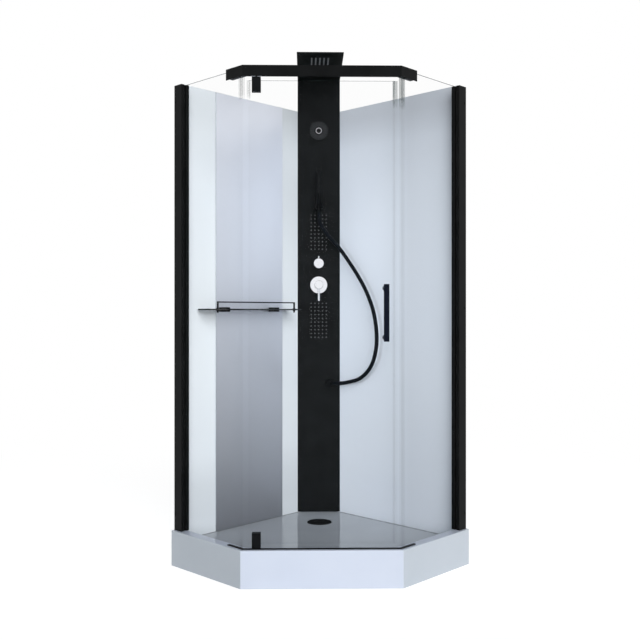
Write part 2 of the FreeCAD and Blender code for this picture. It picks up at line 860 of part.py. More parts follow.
def hinge_clamp(is_top):
    """Inner clamp plate of a pivot block, counterbored for the screws."""
    low = hinge_top - hinge_height if is_top else door_bottom
    high = door_top if is_top else hinge_bottom + hinge_height
    half = hinge_depth / 2
    xs = (pivot_x - hinge_width / 2, pivot_x + hinge_width / 2)
    plate = block(xs, (door_y + glass_thickness / 2, door_y + half), (low, high))
    for height in hinge_screw_heights():
        plate = plate.cut(door_bolt(pivot_x, height, hinge_screw_radius + screw_clearance, half, 0))
        recess = hinge_screw_head_radius + screw_clearance
        plate = plate.cut(door_bolt(pivot_x, height, recess, half, hinge_screw_head - half))
    return plate


def hinge_screw(height):
    """Clamp screw from the inside, through the glass into the block."""
    half = hinge_depth / 2
    head = door_bolt(pivot_x, height, hinge_screw_head_radius, half, hinge_screw_head - half)
    return head.fuse(door_bolt(pivot_x, height, hinge_screw_radius, half, half - 2 * hinge_end_room))


def handle_post_heights():
    """Heights of the two handle posts."""
    reach = handle_length / 2 - handle_post_end_distance
    return handle_height - reach, handle_height + reach


def door_handle():
    """Outer bar of the handle and its two posts, drilled for the fixing screws."""
    post_front = glass_thickness / 2 + handle_gap
    bar_y = (door_y - handle_reach, door_y - post_front)
    bar_x = (handle_x - handle_width / 2, handle_x + handle_width / 2)
    bar = block(bar_x, bar_y, (handle_height - handle_length / 2, handle_height + handle_length / 2))
    bar = rounded(bar, handle_edge_radius, lambda edge: True)
    pieces = [bar]
    for height in handle_post_heights():
        post = door_bolt(handle_x, height, handle_post_radius, -glass_thickness / 2, post_front)
        hole_end = glass_thickness / 2 + handle_screw_grip + hinge_end_room
        bore = handle_screw_radius + screw_clearance
        pieces.append(post.cut(door_bolt(handle_x, height, bore, 0, hole_end)))
    return pieces


def handle_fixing(height):
    """Inner cap with a screw through the glass into the post."""
    inner = glass_thickness / 2
    cap = door_bolt(handle_x, height, handle_cap_radius, inner + handle_cap_length, -inner)
    return cap.fuse(door_bolt(handle_x, height, handle_screw_radius, inner, inner + handle_screw_grip))


def door_side_seal():
    """Strip on the pivot-side edge of the door glass, between the pivot blocks."""
    xs = (-door_edge - door_seal_nose, -door_edge + door_seal_grip)
    body = block(xs, (door_y - seal_half, door_y + seal_half), (door_bottom, door_top))
    return body.cut(door_glass())


def door_magnet_seal():
    """Magnet strip on the free edge of the door glass."""
    xs = (door_edge - door_magnet_grip, door_edge + door_magnet_nose)
    body = block(xs, (door_y - seal_half, door_y + seal_half), (door_bottom, door_top))
    return body.cut(door_glass())


def drip_seal():
    """Drip strip under the door glass, from the pivot block to the magnet strip."""
    xs = (pivot_x + hinge_width / 2 + hinge_gap, door_edge - door_magnet_grip)
    body = block(xs, (door_y - seal_half, door_y + seal_half), (hinge_bottom, door_bottom + drip_seal_grip))
    return body.cut(door_glass())


def column_ring(shrink, depth):
    """Plan outline of the column: flat face and flanks along the walls, shrunk by a wall."""
    front_half_width = column_half - shrink * (1 + ROOT2)
    back_half_width = column_half - depth - shrink * ROOT2
    front_y = face_y + shrink
    back_y = face_y + depth
    return [Vector(-front_half_width, front_y, 0), Vector(front_half_width, front_y, 0),
            Vector(back_half_width, back_y, 0), Vector(-back_half_width, back_y, 0)]


def jet_half_sizes():
    """Half width and half height of a nozzle field's plate."""
    half_width = (jet_columns - 1) / 2 * jet_pitch + jet_margin
    half_height = (jet_rows - 1) / 2 * jet_pitch + jet_margin
    return half_width, half_height


def column_housing():
    """Bent sheet housing: face and two flanks, with openings for what the face carries."""
    body = prism(column_ring(0, column_depth), column_bottom, column_top)
    hollow = column_ring(column_sheet, column_depth + overrun / ROOT2)
    body = body.cut(prism(hollow, column_bottom, column_top))
    half_width, half_height = jet_half_sizes()
    for height in (upper_jet_height, lower_jet_height):
        heights = (height - half_height - column_fit, height + half_height + column_fit)
        body = body.cut(column_block(half_width + column_fit, heights, -column_sheet, 0))
    holes = ((0, rose_height, rose_hole_radius), (0, mixer_height, mixer_hole_radius),
             (0, diverter_height, diverter_hole_radius), (elbow_offset, elbow_height, elbow_hole_radius))
    for x, z, radius in holes:
        body = body.cut(crossways(x, z, radius, -column_sheet, 0))
    return body


def column_back_plate():
    """Flat plate that closes the back of the housing, holed for the supply nipples."""
    half = column_half - column_depth - column_sheet * ROOT2 - column_fit
    plate = column_block(half, (column_bottom, column_top), -column_depth, column_plate - column_depth)
    for side in (-1, 1):
        x = side * nipple_spacing / 2
        plate = plate.cut(crossways(x, mixer_height, nipple_hole_radius, -column_depth, 0))
    return plate


def column_base_cap():
    """Plate inside the foot of the housing, in front of the back plate."""
    ring = column_ring(column_sheet + column_fit, column_depth - column_plate)
    return prism(ring, column_bottom, column_bottom + column_plate)


def overhead_neck():
    """Low block on the column's top that carries the overhead plate and lets the riser through."""
    body = prism(column_ring(0, column_depth), column_top, overhead_underside)
    bore = pipe_radius + screw_clearance
    hole = upright(-riser_offset, face_y + pipe_depth, bore, column_top, overhead_underside)
    return body.cut(hole)


def overhead_slots(width, length, low, high):
    """Row of round-ended bars along Y under the overhead plate."""
    middle_y = face_y - overhead_reach + overhead_slot_setback + overhead_slot_length / 2
    half_run = (length - width) / 2
    bars = []
    for index in range(overhead_slot_count):
        x = (index - (overhead_slot_count - 1) / 2) * overhead_slot_pitch
        run = block((x - width / 2, x + width / 2), (middle_y - half_run, middle_y + half_run), (low, high))
        for end in (-1, 1):
            run = run.fuse(upright(x, middle_y + end * half_run, width / 2, low, high))
        bars.append(run.removeSplitter())
    return bars


def overhead_plate():
    """Overhead shower: flat underside, top sloping to a thin front edge, slots for the nozzles."""
    low = overhead_underside
    back_y = face_y + column_depth
    front_y = face_y - overhead_reach
    root_top = low + overhead_root_thickness
    profile = [Vector(0, back_y, low), Vector(0, front_y, low),
               Vector(0, front_y, low + overhead_edge_thickness),
               Vector(0, face_y, root_top), Vector(0, back_y, root_top)]
    face = Part.Face(Part.makePolygon(profile + profile[:1]))
    face.translate(Vector(-column_half, 0, 0))
    body = face.extrude(Vector(column_width, 0, 0))
    slot_top = low + overhead_slot_depth
    for slot in overhead_slots(overhead_slot_width, overhead_slot_length, low - overrun, slot_top):
        body = body.cut(slot)
    return body


def overhead_strips():
    """Nozzle strips seated in the overhead plate's slots."""
    width = overhead_slot_width - 2 * column_fit
    length = overhead_slot_length - 2 * column_fit
    low = overhead_underside - overhead_strip_rise
    return overhead_slots(width, length, low, overhead_underside + overhead_slot_depth)


def rose_body():
    """Round rose on the column's face with a stub and a spigot behind."""
    disc = crossways(0, rose_height, rose_radius, 0, rose_thickness)
    front_y = face_y - rose_thickness
    disc = rounded(disc, rose_edge_radius, lambda edge: abs(edge.BoundBox.YMax - front_y) < 1e-6)
    disc = disc.fuse(crossways(0, rose_height, rose_stub_radius, -rose_stub_length, 0))
    spigot_end = -rose_stub_length - rose_spigot_length
    return disc.fuse(crossways(0, rose_height, rose_spigot_radius, spigot_end, -rose_stub_length))


def rose_ring():
    """Bright ring round the middle of the rose."""
    top = rose_thickness + rose_ring_height
    ring = crossways(0, rose_height, rose_ring_radius, rose_thickness, top)
    return ring.cut(crossways(0, rose_height, rose_ring_radius - rose_ring_width, rose_thickness, top))


def spray_nozzles():
    """Soft nozzles: two rectangular fields on the jet boxes and spokes on the rose."""
    nozzles = []
    nozzle_tip = rose_thickness + nozzle_rise
    for height in (upper_jet_height, lower_jet_height):
        for column in range(jet_columns):
            for row in range(jet_rows):
                x = (column - (jet_columns - 1) / 2) * jet_pitch
                z = height + (row - (jet_rows - 1) / 2) * jet_pitch
                nozzles.append(crossways(x, z, jet_nozzle_radius, 0, nozzle_rise))
    for spoke in range(rose_spokes):
        angle = 2 * math.pi * spoke / rose_spokes
        for step in range(rose_nozzle_ring_count):
            ring = rose_nozzle_inner + step * rose_nozzle_step
            x = ring * math.sin(angle)
            z = rose_height + ring * math.cos(angle)
            nozzles.append(crossways(x, z, rose_nozzle_radius, rose_thickness, nozzle_tip))
    return nozzles


def jet_box(height):
    """Hollow water box behind a nozzle field, its plate flush with the column's face."""
    half_width, half_height = jet_half_sizes()
    heights = (height - half_height, height + half_height)
    body = column_block(half_width, heights, -jet_box_depth, 0)
    inner_heights = (heights[0] + jet_box_wall, heights[1] - jet_box_wall)
    back = jet_box_wall - jet_box_depth
    body = body.cut(column_block(half_width - jet_box_wall, inner_heights, back, -jet_box_wall))
    return body.cut(crossways(0, height, jet_inlet_radius, -jet_box_depth, back))


def mixer_valve():
    """Brass mixer body behind the face, with a neck through it and a bore for the spindle."""
    half_height = mixer_valve_height / 2
    heights = (mixer_height - half_height, mixer_height + half_height)
    body = column_block(mixer_valve_width / 2, heights, -mixer_valve_depth, -column_sheet)
    body = body.fuse(crossways(0, mixer_height, mixer_neck_radius, -column_sheet, 0))
    return body.cut(crossways(0, mixer_height, spindle_radius + spindle_clearance, -spindle_depth, 0))


def mixer_plate():
    """Round cover plate of the mixer with a low collar."""
    top = mixer_plate_thickness
    disc = crossways(0, mixer_height, mixer_plate_radius, 0, top)
    front_y = face_y - top
    disc = rounded(disc, rose_edge_radius, lambda edge: abs(edge.BoundBox.YMax - front_y) < 1e-6)
    collar_top = top + mixer_collar_height
    disc = disc.fuse(crossways(0, mixer_height, mixer_collar_radius, top, collar_top))
    return disc.cut(crossways(0, mixer_height, spindle_radius + spindle_clearance, 0, collar_top))


def mixer_spindle():
    """Turning spindle of the mixer with the cross pin on which the handle tilts."""
    shaft = crossways(0, mixer_height, spindle_radius, -spindle_depth, spindle_reach)
    base = Vector(-tilt_pin_length / 2, face_y - tilt_pin_reach, mixer_height)
    return shaft.fuse(Part.makeCylinder(tilt_pin_radius, tilt_pin_length, base, Vector(1, 0, 0)))


def mixer_handle():
    """Handle hub over the spindle's head with a lever hanging from it."""
    hub = crossways(0, mixer_height, hub_radius, hub_back, hub_front)
    front_y = face_y - hub_front
    hub = rounded(hub, hub_edge_radius, lambda edge: abs(edge.BoundBox.YMax - front_y) < 1e-6)
    base = Vector(0, face_y - lever_depth, mixer_height - lever_reach)
    lever = Part.makeCylinder(lever_radius, lever_reach, base)
    lever = rounded(lever, lever_radius / 2, lambda edge: lies_at(edge, mixer_height - lever_reach))
    hub = hub.fuse(lever)
    hub = hub.cut(crossways(0, mixer_height, hub_cavity_radius, hub_back, hub_cavity_front))
    half = hub_radius + overrun
    bore_base = Vector(-half, face_y - tilt_pin_reach, mixer_height)
    bore = Part.makeCylinder(tilt_pin_radius + spindle_clearance, 2 * half, bore_base, Vector(1, 0, 0))
    return hub.cut(bore)


def diverter_valve():
    """Diverter body behind the face with a neck through it and a bore for the spindle."""
    body = crossways(0, diverter_height, diverter_valve_radius, -diverter_valve_depth, -column_sheet)
    neck = crossways(0, diverter_height, diverter_neck_radius, -column_sheet, diverter_neck_reach)
    body = body.fuse(neck)
    bore = crossways(0, diverter_height, diverter_spindle_radius + spindle_clearance,
                     -diverter_spindle_depth, diverter_neck_reach)
    return body.cut(bore)


def diverter_knob():
    """Turning knob with its spindle and a short pin that points up."""
    knob = crossways(0, diverter_height, diverter_knob_radius, diverter_knob_back, diverter_knob_front)
    front_y = face_y - diverter_knob_front
    knob = rounded(knob, diverter_knob_edge, lambda edge: abs(edge.BoundBox.YMax - front_y) < 1e-6)
    spindle = crossways(0, diverter_height, diverter_spindle_radius,
                        -diverter_spindle_depth, diverter_knob_back)
    knob = knob.fuse(spindle)
    base = Vector(0, face_y - diverter_pin_depth, diverter_height)
    pin = Part.makeCylinder(diverter_pin_radius, diverter_pin_reach, base)
    pin_top = diverter_height + diverter_pin_reach
    pin = rounded(pin, diverter_pin_radius / 2, lambda edge: lies_at(edge, pin_top))
    return knob.fuse(pin)


def supply_nipple(side):
    """Supply nipple: shank into the mixer valve, flange on the back plate, thread to the wall."""
    x = side * nipple_spacing / 2
    flange_end = -column_depth - nipple_flange_thickness
    shank = crossways(x, mixer_height, nipple_shank_radius, -column_depth, -mixer_valve_depth)
    flange = crossways(x, mixer_height, nipple_flange_radius, flange_end, -column_depth)
    thread = crossways(x, mixer_height, nipple_thread_radius, flange_end - nipple_thread_length, flange_end)
    return shank.fuse(flange).fuse(thread)


def pipe_run(points):
    """Square-cornered pipe through points, with a round fitting at each corner."""
    run = None
    for start, end in zip(points, points[1:]):
        piece = Part.makeCylinder(pipe_radius, (end - start).Length, start, end - start)
        run = piece if run is None else run.fuse(piece)
    for corner in points[1:-1]:
        run = run.fuse(Part.makeSphere(pipe_joint_radius, corner))
    return run


def water_pipes():
    """Pipes inside the column: mixer to diverter, diverter to rose, overhead and hose outlet."""
    pipe_y = face_y + pipe_depth
    outlet_y = face_y + outlet_pipe_depth
    diverter_top = diverter_height + diverter_valve_radius
    mixer_top = mixer_height + mixer_valve_height / 2
    tee_z = diverter_top + pipe_joint_radius
    diverter_foot = diverter_height - diverter_valve_radius
    link = pipe_run([Vector(0, pipe_y, mixer_top), Vector(0, pipe_y, diverter_foot)])
    feed = pipe_run([Vector(0, pipe_y, diverter_top), Vector(0, pipe_y, rose_height - rose_spigot_radius)])
    riser = pipe_run([Vector(0, pipe_y, tee_z), Vector(-riser_offset, pipe_y, tee_z),
                      Vector(-riser_offset, pipe_y, overhead_underside)])
    drop = pipe_run([Vector(diverter_valve_radius, outlet_y, diverter_height),
                     Vector(elbow_offset, outlet_y, diverter_height),
                     Vector(elbow_offset, outlet_y, elbow_height + elbow_stub_radius)])
    tee = Part.makeSphere(pipe_joint_radius, Vector(0, pipe_y, tee_z))
    return link, feed.fuse(riser).fuse(tee), drop


def hose_elbow():
    """Hose outlet: rosette and boss on the face, and a branch with a nut along the right wall."""
    boss = crossways(elbow_offset, elbow_height, elbow_boss_radius, 0, elbow_boss_reach)
    front_y = face_y - elbow_boss_reach
    boss = rounded(boss, rose_edge_radius, lambda edge: abs(edge.BoundBox.YMax - front_y) < 1e-6)
    rosette = crossways(elbow_offset, elbow_height, elbow_rosette_radius, 0, elbow_rosette_thickness)
    stub = crossways(elbow_offset, elbow_height, elbow_stub_radius, -elbow_stub_depth, 0)
    base = Vector(elbow_offset, face_y - elbow_branch_depth, elbow_height)
    heading = Vector(1, -1, 0).normalize()
    branch = Part.makeCylinder(elbow_branch_radius, elbow_branch_length, base, heading)
    nut_base = base + heading * (elbow_branch_length - elbow_nut_length)
    nut = Part.makeCylinder(elbow_nut_radius, elbow_nut_length, nut_base, heading)
    return boss.fuse(rosette).fuse(stub).fuse(branch).fuse(nut)


def hand_shower_holder():
    """Holder: plate on the face, arm and a tapered ring open at the front for the hose."""
    axis_y = face_y - holder_reach
    low = holder_seat_height
    high = low + holder_seat_length
    middle = (low + high) / 2
    plate_z = (middle - holder_plate_height / 2, middle + holder_plate_height / 2)
    plate = column_block(holder_plate_width / 2, plate_z, 0, holder_plate_thickness)
    arm = column_block(holder_arm_width / 2, (low, high), holder_plate_thickness, holder_reach)
    ring = upright(0, axis_y, holder_ring_radius, low, high)
    seat = Part.makeCone(holder_seat_radius, holder_seat_radius + holder_seat_taper, holder_seat_length,
                         Vector(0, axis_y, low))
    slot_half = holder_slot_width / 2
    slot = column_block(slot_half, (low, high), holder_reach, holder_reach + holder_ring_radius + overrun)
    return plate.fuse(arm).fuse(ring).cut(seat).cut(slot)


def hand_shower():
    """Stick hand shower: hose socket, cone in the holder, round stick with a flat spray face."""
    axis_y = face_y - holder_reach
    low = holder_seat_height
    high = low + holder_seat_length
    top = hand_shower_bottom + hand_shower_length
    foot = upright(0, axis_y, hand_shower_foot_radius, hand_shower_bottom, low)
    cone_low = holder_seat_radius - hand_shower_clearance
    cone_high = cone_low + holder_seat_taper
    cone = Part.makeCone(cone_low, cone_high, holder_seat_length, Vector(0, axis_y, low))
    stick = upright(0, axis_y, hand_shower_radius, high, top)
    stick = rounded(stick, hand_shower_tip_radius, lambda edge: lies_at(edge, top))
    face_z = (top - hand_shower_tip_radius - hand_shower_face_length, top - hand_shower_tip_radius)
    face_depth = holder_reach + hand_shower_radius - hand_shower_face_cut
    stick = stick.cut(column_block(hand_shower_radius + overrun, face_z, face_depth, face_depth + overrun))
    return foot.fuse(cone).fuse(stick)


def hose_route():
    """Points of the hose from the hand shower's foot to the outlet elbow's nut.

    The loose points give x, the distance from the back corner and a share of the fall.
    """
    axis_y = face_y - holder_reach
    branch_run = elbow_branch_length / ROOT2
    end = Vector(elbow_offset + branch_run, face_y - elbow_branch_depth - branch_run, elbow_height)
    start = Vector(0, axis_y, hand_shower_bottom)
    head = [start + Vector(*step) for step in ((0, 0, 0), (0, 0, -26), (6, 0, -52), (21, -1, -80))]
    fall = hand_shower_bottom - elbow_height
    loose = [(56, 165, 0.847), (99, 170, 0.7935), (148, 219, 0.7001), (184, 254, 0.6269),
             (220, 290, 0.5415), (253, 324, 0.428), (267, 337, 0.3106), (266, 337, 0.2105),
             (245, 316, 0.1063), (196, 266, 0.0336), (142, 213, 0.01)]
    middle = [Vector(x, corner_y - back, elbow_height + share * fall) for x, back, share in loose]
    tail = [end + Vector(*step) for step in ((22, -22, 0), (0, 0, 0))]
    return head + middle + tail


def shower_hose():
    """Free hose: straight runs joined by tangent arcs, with its radii and length printed."""
    points = hose_route()
    edges = []
    length = 0.0
    here = points[0]
    for before, corner, after in zip(points, points[1:], points[2:]):
        way_in = (corner - before).normalize()
        way_out = (after - corner).normalize()
        turn = way_in.getAngle(way_out)
        reach = 0.45 * min((corner - before).Length, (after - corner).Length)
        radius = reach / math.tan(turn / 2)
        start = corner - way_in * reach
        end = corner + way_out * reach
        inward = (way_out - way_in).normalize()
        middle = corner + inward * (radius / math.cos(turn / 2) - radius)
        edges.append(Part.LineSegment(here, start).toShape())
        edges.append(Part.Arc(start, middle, end).toShape())
        length += (start - here).Length + radius * turn
        print("hose turn %.1f degrees, radius %.0f mm" % (math.degrees(turn), radius))
        here = end
    edges.append(Part.LineSegment(here, points[-1]).toShape())
    length += (points[-1] - here).Length
    ring = Part.Wire(Part.Circle(points[0], points[1] - points[0], hose_radius).toShape())
    tube = Part.Wire(edges).makePipeShell([ring], True, False)
    share = tube.Volume / (math.pi * hose_radius ** 2 * length)
    print("hose length %.0f mm, volume over section times length %.4f" % (length, share))
    return tube


def shelf_post_places():
    """Distances along the wall of the guard rail's two posts."""
    return (shelf_from_corner + shelf_post_end_distance,
            shelf_from_corner + shelf_length - shelf_post_end_distance)


def shelf_limits():
    """Inward limits and height limits of the shelf plate."""
    back = wall_face + mirror_thickness + shelf_wall_gap
    half = shelf_thickness / 2
    return (back, back + shelf_depth), (shelf_height - half, shelf_height + half)


def shelf_upright(along, radius, low, high):
    """Round bar at the shelf's front edge."""
    inward = shelf_limits()[0][1] - shelf_rail_edge_distance
    place = wall_point(along, inward)
    return upright(place.x, place.y, radius, low, high)


def shelf_plate():
    """Shelf plate with round corners and holes for the guard rail's posts."""
    inward, heights = shelf_limits()
    plate = wall_block((shelf_from_corner, shelf_from_corner + shelf_length), inward, heights)
    plate = rounded(plate, shelf_corner_radius, is_upright)
    for along in shelf_post_places():
        plate = plate.cut(shelf_upright(along, shelf_post_radius + shelf_post_clearance, *heights))
    return plate


def shelf_brackets():
    """Two clamp brackets on the mirror that grip the plate's back edge."""
    inward, heights = shelf_limits()
    first = shelf_from_corner + shelf_bracket_end_distance
    half = shelf_bracket_width / 2
    tall = (shelf_height - shelf_bracket_height / 2, shelf_height + shelf_bracket_height / 2)
    start = wall_face + mirror_thickness
    brackets = []
    for along in (first, first + shelf_bracket_spacing):
        body = wall_block((along - half, along + half), (start, start + shelf_bracket_reach), tall)
        slot_along = (along - half - overrun, along + half + overrun)
        brackets.append(body.cut(wall_block(slot_along, (inward[0], inward[1] + overrun), heights)))
    return brackets


def shelf_guard_rail():
    """Two posts with collars on the plate and a thin bar between them."""
    inward, heights = shelf_limits()
    rail_z = shelf_height + shelf_rail_height
    places = shelf_post_places()
    low = heights[0] - shelf_post_foot
    high = rail_z + shelf_rail_radius
    collar_radius = shelf_post_radius + shelf_rail_radius
    posts = []
    for along in places:
        post = shelf_upright(along, shelf_post_radius, low, high)
        collar = shelf_upright(along, collar_radius, heights[0] - shelf_rail_radius, heights[0])
        foot = shelf_upright(along, collar_radius, heights[1], heights[1] + shelf_rail_radius)
        posts.append(post.fuse(collar).fuse(foot))
    line = inward[1] - shelf_rail_edge_distance
    start = wall_point(places[0], line)
    end = wall_point(places[1], line)
    base = Vector(start.x, start.y, rail_z)
    bar = Part.makeCylinder(shelf_rail_radius, (end - start).Length, base, end - start)
    for post in posts:
        bar = bar.cut(post)
    return posts + [bar]


def main():
    """Build every node and write it."""
    os.makedirs("parts", exist_ok=True)
    feet = foot_places()
    save("tray", tray())
    save("tray_base_board", tray_base_board())
    save("tray_frame", *tray_frame())
    save("tray_feet", *[tray_foot(x, y) for x, y in feet])
    save("foot_lock_nuts", *[foot_lock_nut(x, y) for x, y in feet])
    save("waste_flange", waste_flange())
    save("waste_trap", waste_trap())
    save("dip_tube", dip_tube())
    save("drain_cover", drain_cover())

    panel = wall_panel()
    post = wall_post()
    channel = wall_channel()
    screws = post_screws()
    save("left_wall_panel", panel)
    save("right_wall_panel", mirrored(panel))
    save("mirror", mirror())
    save("left_post", post)
    save("right_post", mirrored(post))
    save("wall_channels", channel, mirrored(channel))
    save("post_screws", *screws, *[mirrored(screw) for screw in screws])

    glass = fixed_glass()
    gaskets = glazing_gaskets()
    edge_seals = fixed_edge_seals()
    side_rail = rail_return()
    save("left_fixed_glass", glass)
    save("right_fixed_glass", mirrored(glass))
    save("glazing_gaskets", *gaskets, *[mirrored(strip) for strip in gaskets])
    save("left_edge_seal", *edge_seals)
    save("right_magnet_seal", *[mirrored(strip) for strip in edge_seals])
    save("top_rail", rail_front())
    save("rail_returns", side_rail, mirrored(side_rail))
    save("threshold_strip", *threshold_strip())
    save("pivot_pins", *pivot_pins())

    save("door_glass", door_glass())
    save("top_hinge", hinge_body(True))
    save("bottom_hinge", hinge_body(False))
    save("hinge_clamps", hinge_clamp(True), hinge_clamp(False))
    save("hinge_screws", *[hinge_screw(height) for height in hinge_screw_heights()])
    save("door_handle", *door_handle())
    save("handle_fixings", *[handle_fixing(height) for height in handle_post_heights()])
    save("door_side_seal", door_side_seal())
    save("door_magnet_seal", door_magnet_seal())
    save("door_drip_seal", drip_seal())

    save("column_housing", column_housing())
    save("column_back_plate", column_back_plate())
    save("column_base_cap", column_base_cap())
    save("overhead_neck", overhead_neck())
    save("overhead_plate", overhead_plate())
    save("overhead_strips", *overhead_strips())
    save("rose_body", rose_body())
    save("rose_ring", rose_ring())
    save("spray_nozzles", *spray_nozzles())
    save("jet_boxes", jet_box(upper_jet_height), jet_box(lower_jet_height))
    save("mixer_valve", mixer_valve())
    save("mixer_plate", mixer_plate())
    save("mixer_spindle", mixer_spindle())
    save("mixer_handle", mixer_handle())
    save("diverter_valve", diverter_valve())
    save("diverter_knob", diverter_knob())
    save("supply_nipples", supply_nipple(-1), supply_nipple(1))
    save("water_pipes", *water_pipes())
    save("hose_elbow", hose_elbow())
    save("hand_shower_holder", hand_shower_holder())
    save("hand_shower", hand_shower())
    save("shower_hose", shower_hose())

    save("shelf_plate", shelf_plate())
    save("shelf_brackets", *shelf_brackets())
    save("shelf_guard_rail", *shelf_guard_rail())


main()
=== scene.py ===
"""Looks of the corner shower cabin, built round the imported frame.

Metres, +Z up, +Y from the door to the room corner, origin on the floor.
"""
import math

import bmesh
import bpy
from mathutils import Matrix, Vector


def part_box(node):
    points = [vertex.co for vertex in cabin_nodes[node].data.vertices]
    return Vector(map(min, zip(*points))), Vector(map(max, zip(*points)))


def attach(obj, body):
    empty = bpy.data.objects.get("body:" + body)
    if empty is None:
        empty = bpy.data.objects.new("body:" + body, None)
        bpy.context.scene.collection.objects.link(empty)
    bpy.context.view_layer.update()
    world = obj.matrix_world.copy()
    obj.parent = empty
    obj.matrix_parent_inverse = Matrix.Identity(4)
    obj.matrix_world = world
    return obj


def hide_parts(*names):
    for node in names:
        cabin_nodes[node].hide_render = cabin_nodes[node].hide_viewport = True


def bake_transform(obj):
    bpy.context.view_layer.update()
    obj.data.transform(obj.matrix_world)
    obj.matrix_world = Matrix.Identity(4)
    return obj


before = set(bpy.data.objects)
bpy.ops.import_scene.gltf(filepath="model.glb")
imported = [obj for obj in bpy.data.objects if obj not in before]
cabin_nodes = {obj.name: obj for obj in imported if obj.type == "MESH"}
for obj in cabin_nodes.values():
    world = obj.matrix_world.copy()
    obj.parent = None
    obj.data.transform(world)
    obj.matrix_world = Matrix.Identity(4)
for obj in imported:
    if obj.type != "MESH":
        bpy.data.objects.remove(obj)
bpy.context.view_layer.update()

# Hose route from the outlet elbow up to the hand shower
HOSE_POINTS = [
    (0.0750, 0.3248, 0.7410), (0.0970, 0.3028, 0.7410), (0.1420, 0.2783, 0.7493),
    (0.1960, 0.2253, 0.7688), (0.2450, 0.1753, 0.8290), (0.2660, 0.1543, 0.9153),
    (0.2670, 0.1543, 0.9982), (0.2530, 0.1673, 1.0954), (0.2200, 0.2013, 1.1894),
    (0.1840, 0.2373, 1.2601), (0.1480, 0.2723, 1.3207), (0.0990, 0.3213, 1.3980),
    (0.0560, 0.3263, 1.4423), (0.0210, 0.3248, 1.4890), (0.0060, 0.3258, 1.5170),
    (0, 0.3258, 1.5430), (0, 0.3258, 1.5690),
]
HOSE_DIAMETER = 0.0185

# Silicone bead along the foot of the walls
BEAD_REACH = 0.0036
BEAD_RISE = 0.0018

# Nozzles on the flat of the hand shower
NOZZLE_ROWS = 17
NOZZLE_PITCH = 0.0058
NOZZLE_SIDE_PITCH = 0.8 * NOZZLE_PITCH
NOZZLE_RADIUS = 0.0013
NOZZLE_TIP_RADIUS = 0.7 * NOZZLE_RADIUS
NOZZLE_RISE = 0.0007
NOZZLE_END_ROOM = 0.016

# Heights and widths over which finishes and their painted shade change
TRAY_FLOOR_BELOW = 0.125
TRAY_RIM_ABOVE = 0.140
# Half width of the walls' painted shade along X
PAINTED_SHADE_HALF_WIDTH = 0.64
COLUMN_HALF_BLEND = 0.05
PANEL_FOOT = 0.1
PANEL_TOP = 2.07
MIRROR_FOOT = 0.1
MIRROR_TOP = 2.06
GLASS_TOP_HALF = (1.0, 1.2)
ROSE_ZONE = (1.70, 1.75)
SIDE_SEAL_FADE = (1.925, 1.95)
MAGNET_SEAL_FADE = (1.89, 1.94)
DRIP_SEAL_FADE = (1.78, 1.92)

# Direction that the mirror faces
MIRROR_OUT = (0.7071, -0.7071, 0.0)

# Noise values that count as the bottom and the top of a cloud
CLOUD_LOW = 0.2
CLOUD_HIGH = 0.8

# Studio: floor, the reach of its shadows, and lamps
FLOOR_RADIUS = 30.0
SHADOWS_FULL = 1.0
SHADOWS_GONE = 3.5
WHITE = (1, 1, 1, 1)
DAYLIGHT = (0.965, 0.988, 1.0)
COOL_LIGHT = (0.86, 0.95, 1.0)
WALL_LAMP_PLACE = (-1.6, -1.9, 1.1)
WALL_LAMP_TARGET = (0.36, 0.12, 1.00)


def add(tree, kind, sockets=None, **settings):
    """A node with its properties set and its inputs linked or filled."""
    node = tree.nodes.new(kind)
    for key, value in settings.items():
        setattr(node, key, value)
    for key, value in (sockets or {}).items():
        if isinstance(value, bpy.types.NodeSocket):
            tree.links.new(value, node.inputs[key])
        else:
            node.inputs[key].default_value = value
    return node


def maths(tree, operation, *values):
    """The result of a math node on one or two values."""
    return add(tree, "ShaderNodeMath", dict(enumerate(values)), operation=operation).outputs[0]


def remap(tree, value, low=0.0, high=1.0, to_low=0.0, to_high=1.0, smooth=False):
    """A value stretched from one span to another and held at its ends."""
    spans = {"Value": value, "From Min": low, "From Max": high, "To Min": to_low, "To Max": to_high}
    steps = "SMOOTHSTEP" if smooth else "LINEAR"
    return add(tree, "ShaderNodeMapRange", spans, interpolation_type=steps).outputs["Result"]


def split(tree, vector):
    """The X, Y and Z of a vector."""
    return add(tree, "ShaderNodeSeparateXYZ", {"Vector": vector}).outputs


def shade(colour):
    """A colour with its alpha."""
    return (*colour, 1.0)


def new_finish(name, colour, roughness, metallic=0.0, specular=0.5):
    """A material with one principled shader, and the places its patterns read."""
    finish = bpy.data.materials.new(name)
    finish.use_nodes = True
    tree = finish.node_tree
    shader = tree.nodes["Principled BSDF"]
    shader.inputs["Base Color"].default_value = shade(colour)
    shader.inputs["Roughness"].default_value = roughness
    shader.inputs["Metallic"].default_value = metallic
    shader.inputs["Specular IOR Level"].default_value = specular
    shader.inputs["IOR"].default_value = 1.5
    place = tree.nodes.new("ShaderNodeTexCoord")
    return finish, tree, shader, place


def cloud(tree, place, scale, low=0.0, high=1.0, detail=3.0, stretch=None):
    """Soft noise between two values, stretched along an axis where asked."""
    where = place.outputs["Object"]
    if stretch:
        where = add(tree, "ShaderNodeMapping", {"Vector": where, "Scale": stretch}).outputs["Vector"]
    noise = add(tree, "ShaderNodeTexNoise", {"Vector": where, "Scale": scale, "Detail": detail})
    return remap(tree, noise.outputs["Fac"], CLOUD_LOW, CLOUD_HIGH, low, high, smooth=True)


def grains(tree, place, scale):
    """The red, green and blue of random cells, for spangles and chips."""
    cells = add(tree, "ShaderNodeTexVoronoi", {"Vector": place.outputs["Object"], "Scale": scale})
    return add(tree, "ShaderNodeSeparateColor", {"Color": cells.outputs["Color"]}).outputs


